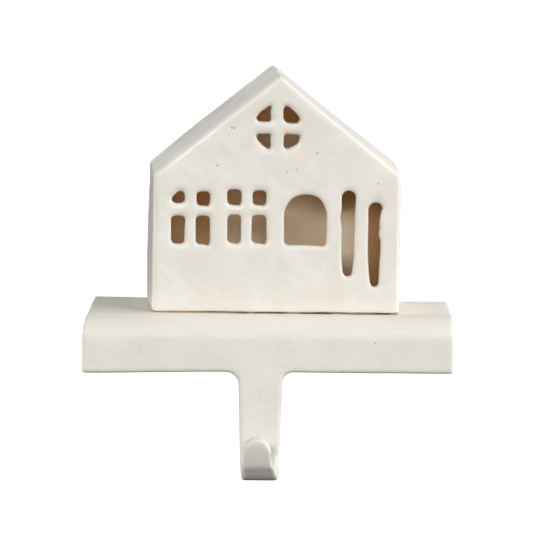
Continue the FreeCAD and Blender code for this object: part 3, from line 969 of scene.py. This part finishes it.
    def _shape_cutouts(self, skin: Skin) -> None:
        """Moves the front wall's cut-outs to where the glaze and the thumb left their edges.

        Args:
            skin: the house's mesh, which is changed.
        """
        x, y, z = skin.points.T
        flat = np.column_stack([x, np.zeros_like(x), z])
        inner = skin.low.y + self.wall
        in_front = 1 - smoothstep(*(inner + off for off in self.behind_front), y)
        inset = np.minimum.reduce([x - skin.low.x, skin.high.x - x, z - skin.low.z])
        share = in_front * smoothstep(*self.within_front, inset) * self._under_roof(skin)
        across, up = (swell.at(flat) for swell in self.wander)
        for place in self.cutouts + self.presses:
            more_across, more_up = place.push(x / MM, z / MM)
            across, up = across + more_across * MM, up + more_up * MM
        skin.points[:, 0] += across * share
        skin.points[:, 2] += up * share


@dataclass
class BaseCasting:
    """The painted plate, lip and hook, slightly uneven as a sand casting is.

    A span leads from none to all of what it is named for, by places or by a normal's upward share.
    """

    node: str = "base_casting"
    cell: float = 0.76 * MM
    rounds: int = 2
    wave_depth: float = 0.12 * MM
    swells: tuple[Swell, ...] = (Swell(31, 24 * MM, 0.3), Swell(32, 9 * MM, 0.2))
    shade_slope: Span = (0.15, 0.6)
    rubbed_flat: Span = (0.985, 0.9)
    shade_into: Span = (-24 * MM, -30 * MM)
    left_spread: float = 0.9 * MM
    spread_across: Span = (-15 * MM, -72 * MM)
    spread_foot: Span = (2 * MM, -8 * MM)
    spread_top: Span = (5 * MM, 10 * MM)
    spread_into: Span = (-30 * MM, 10 * MM)
    tongue_into: Span = (-46 * MM, -54 * MM)
    tongue_curve: float = 1.1 * MM
    curve_up: Span = (-40 * MM, -55 * MM)
    bend_rise: float = 1.1 * MM
    rise_up: Span = (-41 * MM, -57 * MM)
    bend_widen: float = 1.6 * MM
    widen_up: Span = (-47 * MM, -55 * MM)
    widen_front_up: Span = (-43 * MM, -53 * MM)
    widen_front_into: Span = (-48 * MM, -52 * MM)
    widen_across: Span = (-2 * MM, 3 * MM)
    rim_fill: float = 0.4 * MM
    rim_up: Span = (-52 * MM, -49 * MM)
    rim_slope: Span = (-0.65, -0.4)
    finish: IvoryPaint = IvoryPaint()

    def build(self) -> bpy.types.Object:
        """Makes the casting.

        Returns:
            The finished piece.
        """
        skin = fine_copy(self.node, "painted_casting", self.cell, self.rounds)
        # Painted shade: how much of the darker shoulder colour each point takes.
        skin.keep("shoulder_shade", self._shaded_shoulder(skin))
        skin.sink(self.wave_depth, self.swells)
        self._spread_left_end(skin)
        self._shape_hook(skin)
        skin.write(above=(0, 0, self.left_spread))
        return mounted(skin.piece, self.finish.material(), self.node)

    def _shaded_shoulder(self, skin: Skin) -> np.ndarray:
        """Works out how much each point lies on the sloping shoulder, which takes painted shade so that it
        looks no brighter than the front face.

        Args:
            skin: the casting's mesh.

        Returns:
            The share for each point.
        """
        up = skin.normals[:, 2]
        sloping = smoothstep(*self.shade_slope, up) * smoothstep(*self.rubbed_flat, up)
        return sloping * smoothstep(*self.shade_into, skin.points[:, 1])

    def _spread_left_end(self, skin: Skin) -> None:
        """Makes the left end a little taller than the right, as it came out of the mould.

        Args:
            skin: the casting's mesh, which is changed.
        """
        x, y, z = skin.points.T
        share = smoothstep(*self.spread_across, x) * self.left_spread
        skin.points[:, 2] -= share * smoothstep(*self.spread_foot, z)
        skin.points[:, 2] += share * smoothstep(*self.spread_top, z) * smoothstep(*self.spread_into, y)

    def _shape_hook(self, skin: Skin) -> None:
        """Raises and widens the bend's underside, curves the tongue's face under and fills out its rim.

        Args:
            skin: the casting's mesh, which is changed.
        """
        x, y, z = skin.points.T
        in_front = smoothstep(*self.tongue_into, y)
        under = smoothstep(*self.widen_up, z)
        flare = under + (smoothstep(*self.widen_front_up, z) - under) * smoothstep(*self.widen_front_into, y)
        widen = self.bend_widen * flare * smoothstep(*self.widen_across, x)
        rise = self.bend_rise * smoothstep(*self.rise_up, z)
        back = self.tongue_curve * in_front * smoothstep(*self.curve_up, z)
        forward = np.clip(-skin.normals[:, 1], 0, 1) ** 2
        off_bend = smoothstep(*self.rim_up, z) * smoothstep(*self.rim_slope, skin.normals[:, 2])
        rim = 4 * forward * (1 - forward) * in_front * off_bend
        skin.points += skin.normals * (self.rim_fill * rim)[:, None]
        skin.points[:, 0] += widen
        skin.points[:, 1] += back
        skin.points[:, 2] += rise


def heading(degrees: float) -> Point:
    """Gives the level direction at an angle from the right."""
    angle = math.radians(degrees)
    return math.cos(angle), math.sin(angle), 0.0


@dataclass
class GlueLine:
    """The bead of glue under the house's walls, which shows as an uneven brown line round its foot."""

    node: str = "house_glue_line"
    inset: float = 0.8 * MM
    corner: float = 1.5 * MM
    corner_step: int = 15
    wall: float = 5.0 * MM
    step: float = 0.5 * MM
    reach: float = 0.35
    swells: tuple[Swell, ...] = (Swell(41, 9 * MM, 0.45), Swell(42, 3 * MM, 0.25))
    spare: float = 0.05 * MM
    tuck: float = -0.2 * MM
    foot_share: float = 0.8
    head_share: float = 0.7
    lean: Lean = Lean()
    finish: BrownGlue = BrownGlue()

    def build(self) -> bpy.types.Object:
        """Makes the bead.

        Returns:
            The finished piece.
        """
        low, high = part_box(self.node)
        mesh = bpy.data.meshes.new("glue_bead")
        work = bmesh.new()
        outline = self._outline(low, high)
        points = np.array([point for point, _ in outline])
        reach = sum((swell.at(points) for swell in self.swells), self.reach)
        rings = []
        for (point, outward), share in zip(outline, np.clip(reach, 0, 1)):
            rings.append(self._ring(work, Vector(point), Vector(outward), float(share), low.z, high.z))
        for this, following in zip(rings, rings[1:] + rings[:1]):
            for i in range(len(this)):
                j = (i + 1) % len(this)
                work.faces.new((this[i], this[j], following[j], following[i]))
        bmesh.ops.recalc_face_normals(work, faces=work.faces)
        work.to_mesh(mesh)
        work.free()
        mesh.shade_smooth()
        piece = bpy.data.objects.new("glue_bead", mesh)
        bpy.context.scene.collection.objects.link(piece)
        return mounted(piece, self.finish.material(), self.node)

    def _outline(self, low: Vector, high: Vector) -> list[tuple[Point, Point]]:
        """Walks round the house's foot.

        Args:
            low: the ring's lowest corner.
            high: the ring's highest corner.

        Returns:
            Points on the ring's outer edge, each with the direction away from the house.
        """
        r = self.corner
        corners = ((high.x - r, high.y - r, 0), (low.x + r, high.y - r, 90),
                   (low.x + r, low.y + r, 180), (high.x - r, low.y + r, 270))
        found = []
        for (x, y, start), (next_x, next_y, _) in zip(corners, corners[1:] + corners[:1]):
            for turn in range(0, 90, self.corner_step):
                out = heading(start + turn)
                found.append(((x + r * out[0], y + r * out[1], 0.0), out))
            out = heading(start + 90)
            steps = max(2, round(math.hypot(next_x - x, next_y - y) / self.step))
            for share in (i / steps for i in range(steps)):
                across, into = x + (next_x - x) * share, y + (next_y - y) * share
                found.append(((across + r * out[0], into + r * out[1], 0.0), out))
        return found

    def _ring(self, work: bmesh.types.BMesh, edge: Vector, outward: Vector, share: float,
              foot: float, head: float) -> list[bmesh.types.BMVert]:
        """Adds one cross-section of the bead.

        Args:
            work: the mesh that it is added to.
            edge: the point on the ring's outer edge.
            outward: the direction away from the house.
            share: how much of the inset the bead's outer side fills.
            foot: the bead's lowest level.
            head: its highest level.

        Returns:
            The cross-section's points in order.
        """
        width = self.wall - 2 * self.inset
        bulge = (self.inset - self.spare) * share
        middle = (foot + head) / 2
        section = ((-width, foot), (self.tuck, foot), (bulge * self.foot_share, foot), (bulge, middle),
                   (bulge * self.head_share, head), (self.tuck, head), (-width, head))
        leaning = edge + Vector((float(self.lean.at(np.array([edge]))[0]), 0, 0))
        return [work.verts.new(leaning + outward * off + Vector((0, 0, z))) for off, z in section]


@dataclass
class MantelFelt:
    """The felt pad under the plate, with soft cut edges."""

    node: str = "mantel_felt"
    cell: float = 0.6 * MM
    rounds: int = 3
    nap: float = 0.12 * MM
    swells: tuple[Swell, ...] = (Swell(51, 3 * MM, 0.5, 40),)
    finish: GreyFelt = GreyFelt()

    def build(self) -> bpy.types.Object:
        """Makes the pad.

        Returns:
            The finished piece.
        """
        skin = fine_copy(self.node, "felt_pad", self.cell, self.rounds)
        piece, low, high = skin.piece, skin.low, skin.high
        skin.sink(self.nap, self.swells)
        skin.write()
        return mounted(piece, self.finish.material(), self.node)


@dataclass(frozen=True)
class Lamp:
    """One soft lamp, a lit rectangle that faces the holder.

    Its angles are in degrees and its lengths in metres, and it is aimed at a point above the origin.
    """

    name: str
    turn: float
    rise: float
    width: float
    height: float
    distance: float
    watts: float
    aim: float = 0.03

    def hang(self) -> None:
        """Hangs the lamp, turned from the front towards the right and raised by its angles."""
        lamp = bpy.data.lights.new(self.name, "AREA")
        lamp.energy = self.watts
        lamp.shape = "RECTANGLE"
        lamp.size, lamp.size_y = self.width, self.height
        turn, rise = math.radians(self.turn), math.radians(self.rise)
        away = Vector((math.sin(turn) * math.cos(rise), -math.cos(turn) * math.cos(rise), math.sin(rise)))
        holder = bpy.data.objects.new(self.name, lamp)
        holder.location = away * self.distance + Vector((0, 0, self.aim))
        holder.rotation_euler = away.to_track_quat("Z", "Y").to_euler()
        bpy.context.scene.collection.objects.link(holder)


@dataclass
class Studio:
    """The pale floor, the soft light and the camera at the photograph's angle.

    The room's light is a band behind the holder, given by how far back and how high a direction points. The
    camera's turn is its pitch, roll and yaw in degrees, and its lens and film are in millimetres.
    """

    floor_level: float = -0.30
    floor_width: float = 60.0
    floor_shade: Light = (0.95, 0.95, 0.95, 1.0)
    floor_glow: float = 0.9
    floor_roughness: float = 0.9
    white: Light = (1.0, 1.0, 1.0, 1.0)
    bounces: int = 10
    back_light: float = 0.9
    low_light: float = 0.03
    band_back: Span = (-0.15, 0.15)
    band_foot: Span = (-0.06, 0.04)
    band_top: Span = (0.68, 0.48)
    lamps: tuple[Lamp, ...] = (
        Lamp("key", 50, 42, 0.5, 0.5, 1.7, 9.4),
        Lamp("right", 82, 12, 0.5, 0.5, 1.2, 8.8),
        Lamp("front", 3, 8, 0.5, 0.5, 1.7, 5.6),
        Lamp("left", -17.5, 13.5, 0.6, 0.26, 1.7, 11.2),
        Lamp("side", -84, 0, 0.4, 0.4, 1.7, 7.6),
    )
    camera_place: Point = (-0.1121, -4.3923, 0.4780)
    camera_turn: Point = (-5.858, -0.738, -1.461)
    lens: float = 735.5
    film: float = 36.0
    clip: Span = (0.1, 200.0)

    def build(self) -> None:
        """Makes everything round the object."""
        self._set_view()
        self._make_floor()
        self._light_room()
        for lamp in self.lamps:
            lamp.hang()
        self._place_camera()

    def _set_view(self) -> None:
        """Shows colours as they are, and lets light bounce often enough to fill the hollow house."""
        view = bpy.context.scene.view_settings
        view.view_transform = "Standard"
        view.look = "None"
        bpy.context.scene.cycles.diffuse_bounces = self.bounces

    def _make_floor(self) -> None:
        """Lays the pale floor well below the hook."""
        half = self.floor_width / 2
        mesh = bpy.data.meshes.new("floor")
        corners = [(-half, -half), (half, -half), (half, half), (-half, half)]
        mesh.from_pydata([(x, y, self.floor_level) for x, y in corners], [], [(0, 1, 2, 3)])
        floor = bpy.data.objects.new("floor", mesh)
        bpy.context.scene.collection.objects.link(floor)
        g = Graph("pale_floor")
        g.put(g.shader.inputs["Emission Color"], self.white)
        g.put(g.shader.inputs["Emission Strength"], self.floor_glow)
        mesh.materials.append(g.finish(self.floor_shade, self.floor_roughness, specular=0.0))
        floor.visible_diffuse = False
        floor.visible_glossy = False

    def _light_room(self) -> None:
        """Lights the room from a band behind the holder, hardly elsewhere, and keeps the backdrop white."""
        world = bpy.data.worlds.new("room")
        world.use_nodes = True
        bpy.context.scene.world = world
        n = Nodes(world.node_tree)
        background = n.tree.nodes["Background"]
        _, back, up = n.split(n.node("ShaderNodeTexCoord").outputs["Generated"])
        behind = n.ramp(back, *self.band_back)
        above_floor, below_ceiling = n.ramp(up, *self.band_foot), n.ramp(up, *self.band_top)
        band = n.times(n.times(behind, above_floor), below_ceiling)
        light = n.math(Sum.TIMES_THEN_ADD, band, self.back_light, self.low_light)
        seen = n.node("ShaderNodeLightPath").outputs["Is Camera Ray"]
        n.put(background.inputs["Strength"], n.math(Sum.LARGER, light, seen))
        n.put(background.inputs["Color"], self.white)

    def _place_camera(self) -> None:
        """Puts the camera where the object's corners fall as they do in the photograph."""
        pitch, roll, yaw = (math.radians(turn) for turn in self.camera_turn)
        camera = bpy.data.cameras.new("camera")
        camera.lens = self.lens
        camera.sensor_width = self.film
        camera.clip_start, camera.clip_end = self.clip
        holder = bpy.data.objects.new("camera", camera)
        turned = Matrix.Rotation(yaw, 4, "Z") @ Matrix.Rotation(pitch, 4, "X") @ Matrix.Rotation(roll, 4, "Y")
        level = Matrix.Rotation(math.radians(90), 4, "X")
        holder.matrix_world = Matrix.Translation(self.camera_place) @ (turned @ level)
        bpy.context.scene.collection.objects.link(holder)
        bpy.context.scene.camera = holder


def main() -> None:
    """Builds the holder's pieces in order, then the studio."""
    logging.basicConfig(level=logging.INFO, format="%(message)s")
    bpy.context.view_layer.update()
    for part in (BaseCasting(), GlueLine(), CeramicHouse(), MantelFelt()):
        piece = part.build()
        log.info("%s: %d faces", piece.name, len(piece.data.polygons))
    Studio().build()


if __name__ == "__main__":
    main()
